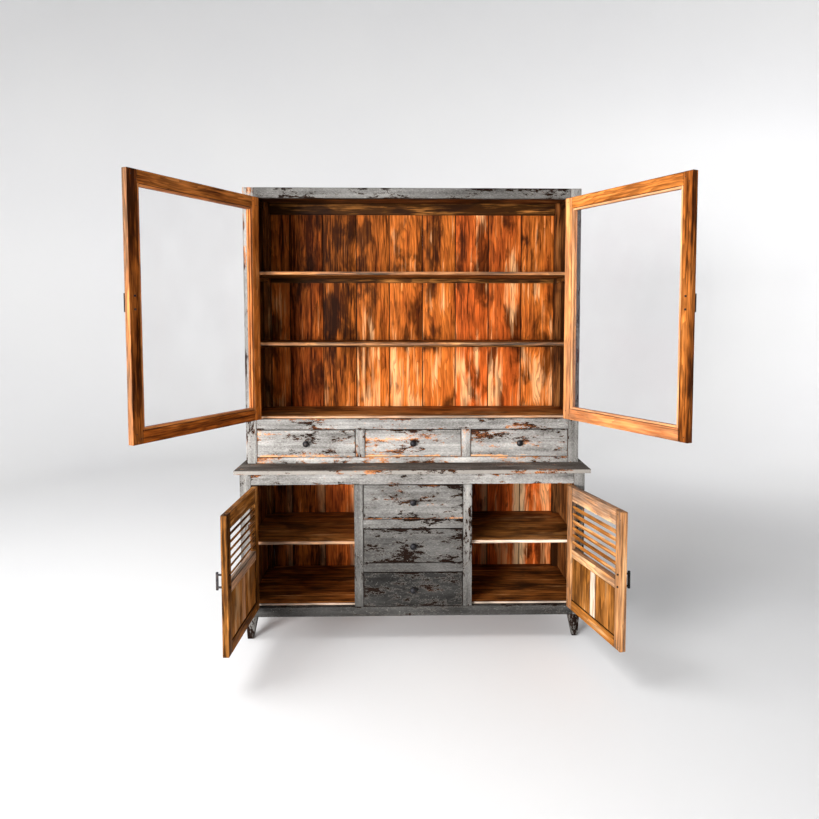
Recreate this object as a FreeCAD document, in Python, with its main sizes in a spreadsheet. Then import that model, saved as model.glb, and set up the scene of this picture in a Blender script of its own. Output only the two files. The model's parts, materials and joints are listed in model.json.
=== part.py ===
"""Buffet cabinet: a glazed display hutch with small drawers on a louvred base.

Millimetres, +Z up, the front faces -Y. The origin is on the floor, at the middle of the
box round the part as it is stored, with its four doors standing open.
"""
import FreeCAD, Part
import Sketcher
import math
import os

doc = FreeCAD.newDocument("buffet_cabinet")
sheet = doc.addObject("Spreadsheet::Sheet", "dims")
doc_nodes = []


class Size:
    """A length written as an expression on the sheet's cells."""

    def __init__(self, text):
        self.text = str(text)

    def __add__(self, other):
        return Size(f"({self.text} + {text_of(other)})")

    def __radd__(self, other):
        return Size(f"({text_of(other)} + {self.text})")

    def __sub__(self, other):
        return Size(f"({self.text} - {text_of(other)})")

    def __rsub__(self, other):
        return Size(f"({text_of(other)} - {self.text})")

    def __mul__(self, other):
        return Size(f"({self.text} * {text_of(other)})")

    __rmul__ = __mul__

    def __truediv__(self, other):
        return Size(f"({self.text} / {text_of(other)})")

    def __neg__(self):
        return Size(f"(0 - {self.text})")


def text_of(value):
    return value.text if isinstance(value, Size) else str(value)


def size(alias, value):
    """Puts one driving dimension on the sheet and returns it as an expression."""
    size.row += 1
    sheet.set(f"A{size.row}", alias)
    sheet.set(f"B{size.row}", str(value))
    sheet.setAlias(f"B{size.row}", alias)
    return Size(f"dims.{alias}")


size.row = 0

# base carcass
base_width = size("base_width", 1510)
base_depth = size("base_depth", 500)
post_width = size("post_width", 48)
post_depth = size("post_depth", 45)
foot_height = size("foot_height", 106)
foot_top = size("foot_top", 52)
foot_end = size("foot_end", 26)
foot_inset = size("foot_inset", 13)
foot_splay = size("foot_splay", 6)
base_low_rail = size("base_low_rail", 43)
base_top_rail = size("base_top_rail", 49)
base_stile = size("base_stile", 39)
drawer_bay = size("drawer_bay", 439)
base_drawer_opening = size("base_drawer_opening", 156)
drawer_rail = size("drawer_rail", 39.5)
floor_thick = size("floor_thick", 16)
base_floor_lift = size("base_floor_lift", 8.5)
base_shelf_rise = size("base_shelf_rise", 277)
shelf_thick = size("shelf_thick", 15)
shelf_setback = size("shelf_setback", 8)
back_thick = size("back_thick", 12)
back_board_width = size("back_board_width", 165)
side_thick = size("side_thick", 14)
side_inset = size("side_inset", 6)
side_rail_thick = size("side_rail_thick", 24)
divider_thick = size("divider_thick", 16)
cleat = size("cleat", 20)

# counter
counter_thick = size("counter_thick", 18)
counter_side = size("counter_side", 22)
counter_front = size("counter_front", 19)

# hutch
hutch_setback = size("hutch_setback", 128)
hutch_low_rail = size("hutch_low_rail", 28)
hutch_drawer_opening = size("hutch_drawer_opening", 127)
sill_rail = size("sill_rail", 48)
hutch_door_opening = size("hutch_door_opening", 988)
hutch_top_rail = size("hutch_top_rail", 46)
hutch_stile = size("hutch_stile", 42)
hutch_floor_lift = size("hutch_floor_lift", 10.5)
low_shelf_rise = size("low_shelf_rise", 335)
high_shelf_rise = size("high_shelf_rise", 655)
top_thick = size("top_thick", 14)
back_rail_height = size("back_rail_height", 56)
back_rail_thick = size("back_rail_thick", 18)
batten_height = size("batten_height", 22)
batten_thick = size("batten_thick", 12)

# doors
door_thick = size("door_thick", 25)
stop_gap = size("stop_gap", 1.5)
hinge_gap = size("hinge_gap", 4)
free_gap = size("free_gap", 2.5)
meeting_gap = size("meeting_gap", 3)
level_gap = size("level_gap", 2.5)
upper_open = size("upper_open", 117)
left_open = size("left_open", 92)
right_open = size("right_open", 104.5)
glazed_stile = size("glazed_stile", 44)
glazed_rail = size("glazed_rail", 48)
rabbet_width = size("rabbet_width", 10)
rabbet_depth = size("rabbet_depth", 15)
pane_thick = size("pane_thick", 4)
pane_gap = size("pane_gap", 1)
bead_thick = size("bead_thick", 9)
louvre_stile = size("louvre_stile", 44)
louvre_foot = size("louvre_foot", 46)
louvre_head = size("louvre_head", 62)
lock_rail = size("lock_rail", 37)
lock_rise = size("lock_rise", 234)
slat_thick = size("slat_thick", 8)
slat_width = size("slat_width", 26)
slat_tilt = size("slat_tilt", 51)
panel_thick = size("panel_thick", 11)
panel_back = size("panel_back", 4)
panel_strip = size("panel_strip", 42)

# hinges
pin_out = size("pin_out", 6)
pin_radius = size("pin_radius", 2.5)
pin_clearance = size("pin_clearance", 0.05)
knuckle_radius = size("knuckle_radius", 5)
leaf_thick = size("leaf_thick", 1.6)
leaf_reach = size("leaf_reach", 26)
hinge_height = size("hinge_height", 76)
knuckle_gap = size("knuckle_gap", 0.4)
hinge_inset = size("hinge_inset", 82)

# pulls and knobs
pull_length = size("pull_length", 68)
pull_pitch = size("pull_pitch", 48)
pull_bar = size("pull_bar", 8)
pull_reach = size("pull_reach", 26)
pull_post_radius = size("pull_post_radius", 4)
bolt_radius = size("bolt_radius", 2.6)
bolt_clearance = size("bolt_clearance", 0.3)
nut_radius = size("nut_radius", 3.8)
nut_height = size("nut_height", 3.5)
upper_pull_rise = size("upper_pull_rise", 511)
lower_pull_rise = size("lower_pull_rise", 286)
right_pull_drop = size("right_pull_drop", 14)
knob_radius = size("knob_radius", 14.5)
knob_reach = size("knob_reach", 25)
knob_neck = size("knob_neck", 6)
knob_foot = size("knob_foot", 10)

# drawers
drawer_gap = size("drawer_gap", 1.5)
drawer_front_thick = size("drawer_front_thick", 20)
drawer_wall = size("drawer_wall", 11)
drawer_base = size("drawer_base", 6)
drawer_base_rise = size("drawer_base_rise", 7)
box_side_gap = size("box_side_gap", 1)
box_head = size("box_head", 12)
box_back_gap = size("box_back_gap", 20)
base_box_lift = size("base_box_lift", 16)
hutch_box_lift = size("hutch_box_lift", 4)
run_gap = size("run_gap", 0.4)
runner_width = size("runner_width", 36)

# counts
SIDE_BOARDS = 3
COUNTER_BOARDS = 3
SLATS = 6
DRAWER_ROWS = 3

sheet.recompute()


def number(value):
    """The present value of an expression, where a count depends on it."""
    return float(sheet.evalExpression(text_of(value)))


# levels, from the floor up
base_bottom = foot_height
base_sill = base_bottom + base_low_rail
base_opening = DRAWER_ROWS * base_drawer_opening + (DRAWER_ROWS - 1) * drawer_rail
base_head = base_sill + base_opening
base_top = base_head + base_top_rail
counter_top = base_top + counter_thick
hutch_drawer_sill = counter_top + hutch_low_rail
hutch_sill_low = hutch_drawer_sill + hutch_drawer_opening
hutch_sill = hutch_sill_low + sill_rail
hutch_head = hutch_sill + hutch_door_opening
hutch_top = hutch_head + hutch_top_rail
base_floor_top = base_sill + base_floor_lift
hutch_floor_top = hutch_sill + hutch_floor_lift

# distances across and back; the base's front plane is at y = 0 here
half_width = base_width / 2
inner_half = half_width - post_width
panel_half = half_width - side_inset - side_thick
frame_depth = door_thick + stop_gap
hutch_depth = base_depth - hutch_setback
back_face = base_depth - back_thick
bay_half = drawer_bay / 2
base_stile_out = bay_half + base_stile
divider_in = bay_half + (base_stile - divider_thick) / 2
divider_out = divider_in + divider_thick
hutch_stile_out = bay_half + hutch_stile
guide_in = bay_half + (hutch_stile - divider_thick) / 2

# the doors' leaf sizes and pins
upper_width = inner_half - hinge_gap - meeting_gap / 2
upper_height = hutch_door_opening - 2 * level_gap
lower_width = inner_half - base_stile_out - hinge_gap - free_gap
lower_height = base_opening - 2 * level_gap
pin_x = inner_half - hinge_gap / 2

# the base's front plane from the origin, which is midway between the back and the free
# edges of the glazed doors as they stand open
sine = Size(f"sin({upper_open.text} * 1 deg)")
cosine = Size(f"cos({upper_open.text} * 1 deg)")
door_reach = sine * (hinge_gap / 2 + upper_width) - cosine * (pin_out + door_thick)
door_edge = hutch_setback - pin_out - door_reach
front_plane = -((base_depth + door_edge) / 2)
upper_pin_y = front_plane + hutch_setback - pin_out
lower_pin_y = front_plane - pin_out


def box(length, width, height, x, y, z):
    """A board with its low corner at x, y, z."""
    board = doc.addObject("Part::Box", "board")
    for name, value in (("Length", length), ("Width", width), ("Height", height)):
        board.setExpression(name, text_of(value))
    for axis, value in (("x", x), ("y", y), ("z", z)):
        board.setExpression(f"Placement.Base.{axis}", text_of(value))
    return board


def rod(radius, length, x, y, z, along=(0, 0, 1)):
    """A round bar from x, y, z, upright or along +Y."""
    bar = doc.addObject("Part::Cylinder", "rod")
    bar.setExpression("Radius", text_of(radius))
    bar.setExpression("Height", text_of(length))
    turn = "0" if along[2] else "-90"
    place(bar, x, y, z, turn, axis=(1, 0, 0))
    return bar


def place(item, x, y, z, turn="0", axis=(0, 0, 1)):
    at = f"vector({text_of(x)}; {text_of(y)}; {text_of(z)})"
    about = f"vector({axis[0]}; {axis[1]}; {axis[2]})"
    item.setExpression("Placement", f"placement({at}; rotation({about}; {text_of(turn)}))")


def fuse(*items):
    joined = doc.addObject("Part::MultiFuse", "joined")
    joined.Shapes = list(items)
    joined.Refine = True
    return joined


def cut(item, tool):
    trimmed = doc.addObject("Part::Cut", "trimmed")
    trimmed.Base = item
    trimmed.Tool = tool
    return trimmed


def bundle(items):
    """Several solids taken as one tool or one piece."""
    group = doc.addObject("Part::Compound", "bundle")
    group.Links = list(items)
    return group


def node(label, items, x=0, y=front_plane, z=0, turn="0"):
    """One named piece, or set of like pieces, set in its place on the part."""
    group = bundle(items)
    group.Label = label
    place(group, x, y, z, turn)
    doc_nodes.append(group)
    return group


def row_of_boards(count, start, span, make):
    """Boards of one width, side by side over a span."""
    width = span / count
    return [make(start + i * width, width) for i in range(count)]


def both_sides(make):
    """The left piece and its twin on the right; make takes the sign and gives a board."""
    return [make(-1), make(1)]


def across(sign, near, far):
    """The low x of a piece between two distances from the middle, on one side."""
    return near if sign > 0 else -far


def corner_posts(front, low, height):
    """Four square posts, a pair at the front plane and a pair at the back."""
    posts = []
    for sign in (-1, 1):
        for y in (front, base_depth - post_depth):
            x = across(sign, inner_half, half_width)
            posts.append(box(post_width, post_depth, height, x, y, low))
    return posts


def side_walls(front, rail_levels, low, height):
    """Rails and upright boards that close each end, between the front and back posts."""
    start = front + post_depth
    span = base_depth - post_depth - start
    rails = []
    boards = []
    for sign in (-1, 1):
        x = across(sign, half_width - side_rail_thick, half_width)
        for level, rise in rail_levels:
            rails.append(box(side_rail_thick, span, rise, x, start, level))
        x = across(sign, panel_half, panel_half + side_thick)
        boards += row_of_boards(
            SIDE_BOARDS, start, span, lambda y, width: box(side_thick, width, height, x, y, low)
        )
    return rails, boards


def level_board(thick, top, front, posts):
    """A board from end wall to end wall, notched round the posts."""
    board = box(2 * panel_half, back_face - front, thick, -panel_half, front, top - thick)
    return cut(board, bundle(posts))


def back_boards(low, height):
    """Upright boards of one width laid from the right, the last one ripped to what is left."""
    span = 2 * inner_half
    count = math.ceil(number(span / back_board_width))
    boards = []
    for i in range(count):
        width = back_board_width
        if i == count - 1:
            width = span - i * back_board_width
        x = inner_half - i * back_board_width - width
        boards.append(box(width, back_thick, height, x, back_face, low))
    return boards


# base
base_posts = corner_posts(0, base_bottom, base_top - base_bottom)
node("base_posts", base_posts)


def foot(sign, y, outward):
    """A square foot that narrows to the floor, most of it on the side that faces in."""
    wedge = doc.addObject("Part::Wedge", "foot")
    shift = (foot_top - foot_end) - foot_splay
    low = shift if sign > 0 else foot_splay
    near = shift if outward > 0 else foot_splay
    for name, value in (
        ("Xmin", low),
        ("Xmax", low + foot_end),
        ("Zmin", near),
        ("Zmax", near + foot_end),
        ("X2min", 0),
        ("X2max", foot_top),
        ("Z2min", 0),
        ("Z2max", foot_top),
        ("Ymin", 0),
        ("Ymax", foot_height),
    ):
        wedge.setExpression(name, text_of(value))
    x = across(sign, half_width - foot_inset - foot_top, half_width - foot_inset)
    place(wedge, x, y + foot_top, 0, "90", axis=(1, 0, 0))
    return wedge


feet = []
for sign in (-1, 1):
    feet.append(foot(sign, foot_inset, 1))
    feet.append(foot(sign, base_depth - foot_inset - foot_top, -1))
node("base_feet", feet)

frame = [
    box(2 * inner_half, frame_depth, base_low_rail, -inner_half, 0, base_bottom),
    box(2 * inner_half, frame_depth, base_top_rail, -inner_half, 0, base_head),
]
frame += both_sides(
    lambda sign: box(
        base_stile, frame_depth, base_opening, across(sign, bay_half, base_stile_out), 0, base_sill
    )
)
for row in range(1, DRAWER_ROWS):
    level = base_sill + row * base_drawer_opening + (row - 1) * drawer_rail
    frame.append(box(drawer_bay, frame_depth, drawer_rail, -bay_half, 0, level))
node("base_face_frame", frame)

base_floor_low = base_floor_top - floor_thick
rails, boards = side_walls(
    0,
    ((base_bottom, base_floor_low - base_bottom), (base_head, base_top_rail)),
    base_floor_low,
    base_head - base_floor_low,
)
node("base_side_rails", rails)
node("base_side_boards", boards)
node("base_floor", [level_board(floor_thick, base_floor_top, frame_depth, base_posts)])

divider_height = base_top - base_floor_top
node(
    "base_dividers",
    both_sides(
        lambda sign: box(
            divider_thick,
            back_face - frame_depth,
            divider_height,
            across(sign, divider_in, divider_out),
            frame_depth,
            base_floor_top,
        )
    ),
)

shelf_top = base_floor_top + base_shelf_rise
shelf_front = frame_depth + shelf_setback
node(
    "base_shelves",
    both_sides(
        lambda sign: cut(
            box(
                panel_half - divider_out,
                back_face - shelf_front,
                shelf_thick,
                across(sign, divider_out, panel_half),
                shelf_front,
                shelf_top - shelf_thick,
            ),
            bundle(base_posts),
        )
    ),
)

cleat_span = base_depth - 2 * post_depth
runners = []
for sign in (-1, 1):
    level = shelf_top - shelf_thick - cleat
    x = across(sign, panel_half - cleat, panel_half)
    runners.append(box(cleat, cleat_span, cleat, x, post_depth, level))
    x = across(sign, divider_out, divider_out + cleat)
    runners.append(box(cleat, cleat_span, cleat, x, post_depth, level))
    for row in range(DRAWER_ROWS):
        sill = base_sill + row * (base_drawer_opening + drawer_rail)
        low = sill + base_floor_lift
        x = across(sign, divider_in - runner_width, divider_in)
        runners.append(
            box(
                runner_width,
                back_face - frame_depth,
                base_box_lift - base_floor_lift - run_gap,
                x,
                frame_depth,
                low,
            )
        )
node("base_runners_and_cleats", runners)
node("base_back_boards", back_boards(base_bottom, base_top - base_bottom))

counter_half = half_width + counter_side
node(
    "counter_boards",
    row_of_boards(
        COUNTER_BOARDS,
        -counter_front,
        base_depth + counter_front,
        lambda y, width: box(2 * counter_half, width, counter_thick, -counter_half, y, base_top),
    ),
)

# hutch
hutch_posts = corner_posts(hutch_setback, counter_top, hutch_top - counter_top)
node("hutch_posts", hutch_posts)
hutch_back_of_frame = hutch_setback + frame_depth
frame = [
    box(2 * inner_half, frame_depth, rise, -inner_half, hutch_setback, level)
    for rise, level in (
        (hutch_low_rail, counter_top),
        (sill_rail, hutch_sill_low),
        (hutch_top_rail, hutch_head),
    )
]
frame += both_sides(
    lambda sign: box(
        hutch_stile,
        frame_depth,
        hutch_drawer_opening,
        across(sign, bay_half, hutch_stile_out),
        hutch_setback,
        hutch_drawer_sill,
    )
)
node("hutch_face_frame", frame)

deck_top = hutch_drawer_sill + hutch_box_lift - run_gap
deck_low = deck_top - floor_thick
rails, boards = side_walls(
    hutch_setback,
    ((counter_top, deck_low - counter_top), (hutch_head, hutch_top_rail)),
    deck_low,
    hutch_head - deck_low,
)
node("hutch_side_rails", rails)
node("hutch_side_boards", boards)

top_half = half_width - side_rail_thick
top_board = box(
    2 * top_half,
    back_face - hutch_back_of_frame,
    top_thick,
    -top_half,
    hutch_back_of_frame,
    hutch_top - top_thick,
)
node("hutch_top", [cut(top_board, bundle(hutch_posts))])
node("hutch_back_boards", back_boards(counter_top, hutch_top - counter_top))
node(
    "hutch_floor",
    [level_board(floor_thick, hutch_floor_top, hutch_back_of_frame, hutch_posts)],
)

display_front = hutch_back_of_frame + shelf_setback / 2
shelf_tops = (hutch_floor_top + low_shelf_rise, hutch_floor_top + high_shelf_rise)
node(
    "hutch_shelves",
    [level_board(shelf_thick, top, display_front, hutch_posts) for top in shelf_tops],
)

back_rails = [
    box(
        2 * inner_half,
        back_rail_thick,
        back_rail_height,
        -inner_half,
        back_face - back_rail_thick,
        hutch_top - top_thick - back_rail_height,
    )
]
hutch_cleat_span = hutch_depth - 2 * post_depth
for top in shelf_tops:
    under = top - shelf_thick
    back_rails.append(
        box(
            2 * inner_half,
            batten_thick,
            batten_height,
            -inner_half,
            back_face - batten_thick,
            under - batten_height,
        )
    )
    back_rails += both_sides(
        lambda sign: box(
            cleat,
            hutch_cleat_span,
            cleat,
            across(sign, panel_half - cleat, panel_half),
            hutch_setback + post_depth,
            under - cleat,
        )
    )
node("hutch_rails_and_cleats", back_rails)

deck = [level_board(floor_thick, deck_top, hutch_back_of_frame, hutch_posts)]
deck += both_sides(
    lambda sign: box(
        divider_thick,
        back_face - hutch_back_of_frame,
        hutch_floor_top - floor_thick - deck_top,
        across(sign, guide_in, guide_in + divider_thick),
        hutch_back_of_frame,
        deck_top,
    )
)
node("hutch_drawer_deck", deck)


# hinges
# A door's own frame has its origin on the pin, x across the door from the hinge side and y from
# front to back with the door shut. The left door runs along +x, the right door along -x.
third = (hinge_height - 2 * knuckle_gap) / 3


def along(sign, start, length):
    """The low x of a piece of the door that starts at a distance from the pin."""
    return start if sign < 0 else -(start + length)


def fixed_leaf(sign, low):
    """The leaf on the post, with the end knuckles and the pin that runs through all three."""
    x = along(sign, -(hinge_gap / 2), leaf_thick)
    clear = knuckle_radius + knuckle_gap
    pieces = [box(leaf_thick, leaf_reach - clear, hinge_height, x, clear, low)]
    for level in (low, low + 2 * (third + knuckle_gap)):
        pieces.append(rod(knuckle_radius, third, 0, 0, level))
        pieces.append(box(leaf_thick, clear, third, x, 0, level))
    pieces.append(rod(pin_radius, hinge_height, 0, 0, low))
    return fuse(*pieces)


def moving_leaf(sign, low):
    """The leaf on the door's edge, with the middle knuckle bored for the pin."""
    x = along(sign, hinge_gap / 2 - leaf_thick, leaf_thick)
    clear = knuckle_radius + knuckle_gap
    level = low + third + knuckle_gap
    body = fuse(
        box(leaf_thick, leaf_reach - clear, hinge_height, x, clear, low),
        box(leaf_thick, clear, third, x, 0, level),
        rod(knuckle_radius, third, 0, 0, level),
    )
    return cut(body, rod(pin_radius + pin_clearance, third, 0, 0, level))


def hinge_levels(low, height):
    """The low ends of the two hinges of a door that starts at a level."""
    return (low + hinge_inset - hinge_height / 2, low + height - hinge_inset - hinge_height / 2)


# doors
def pull_holes(sign, width, height, rise):
    """The two bolt holes through the free stile."""
    x = along(sign, hinge_gap / 2 + width - glazed_stile / 2, 0)
    return [
        rod(bolt_radius + bolt_clearance, door_thick, x, pin_out, rise + shift, along=(0, 1, 0))
        for shift in (-(pull_pitch / 2), pull_pitch / 2)
    ]


def bar_pull(sign, width, rise):
    """A square bar on two posts, bolted through the stile with a nut on each bolt inside."""
    x = along(sign, hinge_gap / 2 + width - glazed_stile / 2, 0)
    bar_y = pin_out - pull_reach
    pieces = [
        box(pull_bar, pull_bar, pull_length, x - pull_bar / 2, bar_y, rise - pull_length / 2)
    ]
    for shift in (-(pull_pitch / 2), pull_pitch / 2):
        level = rise + shift
        start = bar_y + pull_bar / 2
        pieces.append(
            rod(pull_post_radius, pin_out - start, x, start, level, along=(0, 1, 0))
        )
        length = door_thick + nut_height
        pieces.append(rod(bolt_radius, length, x, pin_out, level, along=(0, 1, 0)))
        pieces.append(
            rod(nut_radius, nut_height, x, pin_out + door_thick, level, along=(0, 1, 0))
        )
    return fuse(*pieces)


def glazed_door(sign, width, height, low):
    """A frame rabbeted on its inner side, a pane in the rabbet and beads that hold it."""
    edge = hinge_gap / 2
    lip = door_thick - rabbet_depth
    stiles = []
    for start, lip_start in (
        (edge, edge),
        (edge + width - glazed_stile, edge + width - glazed_stile - rabbet_width),
    ):
        x = along(sign, start, glazed_stile)
        lip_width = glazed_stile + rabbet_width
        stile = fuse(
            box(glazed_stile, door_thick, height, x, pin_out, low),
            box(lip_width, lip, height, along(sign, lip_start, lip_width), pin_out, low),
        )
        stiles.append(stile)
    holes = bundle(pull_holes(sign, width, height, low + upper_pull_rise))
    stiles[1] = cut(stiles[1], holes)
    rails = []
    inner = width - 2 * glazed_stile
    lip_inner = inner - 2 * rabbet_width
    x = along(sign, edge + glazed_stile, inner)
    lip_x = along(sign, edge + glazed_stile + rabbet_width, lip_inner)
    lip_height = glazed_rail + rabbet_width
    for level, lip_level in (
        (low, low),
        (low + height - glazed_rail, low + height - lip_height),
    ):
        rail = fuse(
            box(inner, rabbet_depth, glazed_rail, x, pin_out + lip, level),
            box(lip_inner, lip, lip_height, lip_x, pin_out, lip_level),
        )
        rails.append(rail)
    pane_width = inner - 2 * pane_gap
    pane_height = height - 2 * glazed_rail - 2 * pane_gap
    pane = box(
        pane_width,
        pane_thick,
        pane_height,
        along(sign, edge + glazed_stile + pane_gap, pane_width),
        pin_out + lip,
        low + glazed_rail + pane_gap,
    )
    bead_y = pin_out + lip + pane_thick
    bead_height = height - 2 * glazed_rail
    beads = []
    for start in (edge + glazed_stile, edge + width - glazed_stile - rabbet_width):
        bead_x = along(sign, start, rabbet_width)
        beads.append(
            box(rabbet_width, bead_thick, bead_height, bead_x, bead_y, low + glazed_rail)
        )
    for level in (low + glazed_rail, low + height - glazed_rail - rabbet_width):
        beads.append(box(lip_inner, bead_thick, rabbet_width, lip_x, bead_y, level))
    return stiles + rails, pane, beads


def louvred_door(sign, width, height, low, pull_level):
    """A frame with a lock rail, tilted slats above it and upright panel boards below."""
    edge = hinge_gap / 2
    inner = width - 2 * louvre_stile
    x = along(sign, edge + louvre_stile, inner)
    stiles = [
        box(louvre_stile, door_thick, height, along(sign, start, louvre_stile), pin_out, low)
        for start in (edge, edge + width - louvre_stile)
    ]
    holes = bundle(pull_holes(sign, width, height, pull_level))
    stiles[1] = cut(stiles[1], holes)
    lock_low = low + lock_rise
    lock_top = lock_low + lock_rail
    head = low + height - louvre_head
    rails = [
        box(inner, door_thick, rise, x, pin_out, level)
        for rise, level in ((louvre_foot, low), (lock_rail, lock_low), (louvre_head, head))
    ]
    pitch = (head - lock_top) / (SLATS + 0.75)
    slats = []
    for i in range(SLATS):
        slat = doc.addObject("Part::Box", "slat")
        for name, value in (("Length", inner), ("Width", slat_width), ("Height", slat_thick)):
            slat.setExpression(name, text_of(value))
        tilt = Size(f"({text_of(slat_tilt)} * 1 deg)")
        half_y = f"(cos({tilt.text}) * {slat_width.text} - sin({tilt.text}) * {slat_thick.text})"
        half_z = f"(sin({tilt.text}) * {slat_width.text} + cos({tilt.text}) * {slat_thick.text})"
        y = pin_out + door_thick / 2 - Size(half_y) / 2
        z = lock_top + (i + 0.75) * pitch - Size(half_z) / 2
        place(slat, x, y, z, slat_tilt, axis=(1, 0, 0))
        slats.append(slat)
    panel_low = low + louvre_foot
    wide = (inner - panel_strip) / 2
    panels = [
        box(
            span,
            panel_thick,
            lock_low - panel_low,
            along(sign, edge + louvre_stile + start, span),
            pin_out + door_thick - panel_back - panel_thick,
            panel_low,
        )
        for start, span in ((0, wide), (wide, panel_strip), (wide + panel_strip, wide))
    ]
    return stiles + rails, slats, panels


fixed_leaves = []
for side, sign, lower_open in (("left", -1, left_open), ("right", 1, right_open)):
    name = f"{side}_glazed_door"
    low = hutch_sill + level_gap
    seat = {"x": sign * pin_x, "y": upper_pin_y, "turn": sign * upper_open}
    wood, pane, beads = glazed_door(sign, upper_width, upper_height, low)
    levels = hinge_levels(low, upper_height)
    node(f"{name}_frame", wood, **seat)
    node(f"{name}_pane", [pane], **seat)
    node(f"{name}_beads", beads, **seat)
    node(f"{name}_hinge_leaves", [moving_leaf(sign, level) for level in levels], **seat)
    node(f"{name}_pull", [bar_pull(sign, upper_width, low + upper_pull_rise)], **seat)
    posted = bundle([fixed_leaf(sign, level) for level in levels])
    place(posted, sign * pin_x, hutch_setback - pin_out, 0)
    fixed_leaves.append(posted)

    name = f"{side}_louvred_door"
    low = base_sill + level_gap
    seat = {"x": sign * pin_x, "y": lower_pin_y, "turn": sign * lower_open}
    pull_level = low + lower_pull_rise
    if side == "right":
        pull_level = pull_level - right_pull_drop
    wood, slats, panels = louvred_door(sign, lower_width, lower_height, low, pull_level)
    levels = hinge_levels(low, lower_height)
    node(f"{name}_frame", wood, **seat)
    node(f"{name}_slats", slats, **seat)
    node(f"{name}_panel_boards", panels, **seat)
    node(f"{name}_hinge_leaves", [moving_leaf(sign, level) for level in levels], **seat)
    node(f"{name}_pull", [bar_pull(sign, lower_width, pull_level)], **seat)
    posted = bundle([fixed_leaf(sign, level) for level in levels])
    place(posted, sign * pin_x, -pin_out, 0)
    fixed_leaves.append(posted)
node("post_hinge_leaves", fixed_leaves)


# drawers
def plane_of(body, role):
    return [item for item in body.Origin.OriginFeatures if item.Role == role][0]


def knob(label, x, y, z):
    """A turned knob: a low foot on the drawer front, a neck and a domed head."""
    body = doc.addObject("PartDesign::Body", "knob")
    body.Label = label
    sketch = body.newObject("Sketcher::SketchObject", "knob_profile")
    sketch.AttachmentSupport = [(plane_of(body, "XY_Plane"), "")]
    sketch.MapMode = "FlatFace"
    foot_depth = knob_reach * 0.12
    head_back = knob_reach * 0.45
    head_side = knob_reach * 0.72
    head_face = knob_radius * 0.6
    profile = (
        (0, 0),
        (knob_foot, 0),
        (knob_foot, foot_depth),
        (knob_neck, foot_depth),
        (knob_neck, head_back),
        (knob_radius, head_back),
        (knob_radius, head_side),
        (head_face, knob_reach),
        (0, knob_reach),
    )
    points = [FreeCAD.Vector(number(px), -number(py), 0) for px, py in profile]
    count = len(points)
    for i in range(count):
        sketch.addGeometry(Part.LineSegment(points[i], points[(i + 1) % count]), False)
    for i in range(count):
        sketch.addConstraint(Sketcher.Constraint("Coincident", i, 2, (i + 1) % count, 1))
    for i, (px, py) in enumerate(profile):
        for kind, value, sign in (("DistanceX", px, 1), ("DistanceY", py, -1)):
            start = sketch.getPoint(i, 1)
            now = start.x if kind == "DistanceX" else start.y
            index = sketch.addConstraint(Sketcher.Constraint(kind, -1, 1, i, 1, now))
            sketch.setExpression(f"Constraints[{index}]", text_of(sign * value))
    turned = body.newObject("PartDesign::Revolution", "knob_turned")
    turned.Profile = sketch
    turned.ReferenceAxis = (sketch, ["V_Axis"])
    turned.Angle = 360
    place(body, x, y, z)
    doc_nodes.append(body)
    return body


def drawer(name, x, front, sill, opening_width, opening_height, lift, depth):
    """An inset front, a box of two sides, a back and a bottom, and a knob on the front."""
    width = opening_width - 2 * drawer_gap
    height = opening_height - 2 * drawer_gap
    seat = {"x": x, "y": front_plane + front, "z": sill}
    board = box(width, drawer_front_thick, height, -(width / 2), 0, drawer_gap)
    node(f"{name}_front", [board], **seat)
    box_half = width / 2 - box_side_gap
    wall_height = opening_height - lift - box_head
    wall_length = depth - drawer_front_thick
    inner = 2 * (box_half - drawer_wall)
    pieces = both_sides(
        lambda sign: box(
            drawer_wall,
            wall_length,
            wall_height,
            across(sign, box_half - drawer_wall, box_half),
            drawer_front_thick,
            lift,
        )
    )
    back_y = drawer_front_thick + wall_length - drawer_wall
    bottom_low = lift + drawer_base_rise
    bottom_top = bottom_low + drawer_base
    pieces.append(
        box(inner, drawer_wall, wall_height - drawer_base_rise, -(inner / 2), back_y, bottom_low)
    )
    pieces.append(
        box(
            inner,
            wall_length - drawer_wall,
            drawer_base,
            -(inner / 2),
            drawer_front_thick,
            bottom_low,
        )
    )
    node(f"{name}_box", pieces, **seat)
    knob(f"{name}_knob", x, front_plane + front, sill + opening_height / 2)


outer_opening = inner_half - hutch_stile_out
outer_middle = (inner_half + hutch_stile_out) / 2
for name, x, opening in (
    ("left_small_drawer", -outer_middle, outer_opening),
    ("middle_small_drawer", Size(0), drawer_bay),
    ("right_small_drawer", outer_middle, outer_opening),
):
    depth = hutch_depth - back_thick - box_back_gap
    drawer(
        name,
        x,
        hutch_setback,
        hutch_drawer_sill,
        opening,
        hutch_drawer_opening,
        hutch_box_lift,
        depth,
    )
for row, name in enumerate(("low_large_drawer", "middle_large_drawer", "high_large_drawer")):
    sill = base_sill + row * (base_drawer_opening + drawer_rail)
    depth = base_depth - back_thick - box_back_gap
    drawer(
        name, Size(0), Size(0), sill, drawer_bay, base_drawer_opening, base_box_lift, depth
    )

doc.recompute()

for item in doc.Objects:
    for word in ("Invalid", "Error"):
        if word in item.State:
            raise RuntimeError(f"{item.Name} is in state {item.State}")
for item in doc_nodes:
    if item.Shape.isNull() or not item.Shape.isValid():
        raise RuntimeError(f"{item.Label} has no valid shape")

os.makedirs("parts", exist_ok=True)
for item in doc_nodes:
    item.Shape.exportStep(f"parts/{item.Label}.step")
    print(item.Label, len(item.Shape.Solids))
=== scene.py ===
import json
import math
import random

import bmesh
import bpy
from mathutils import Matrix, Vector, noise

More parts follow.
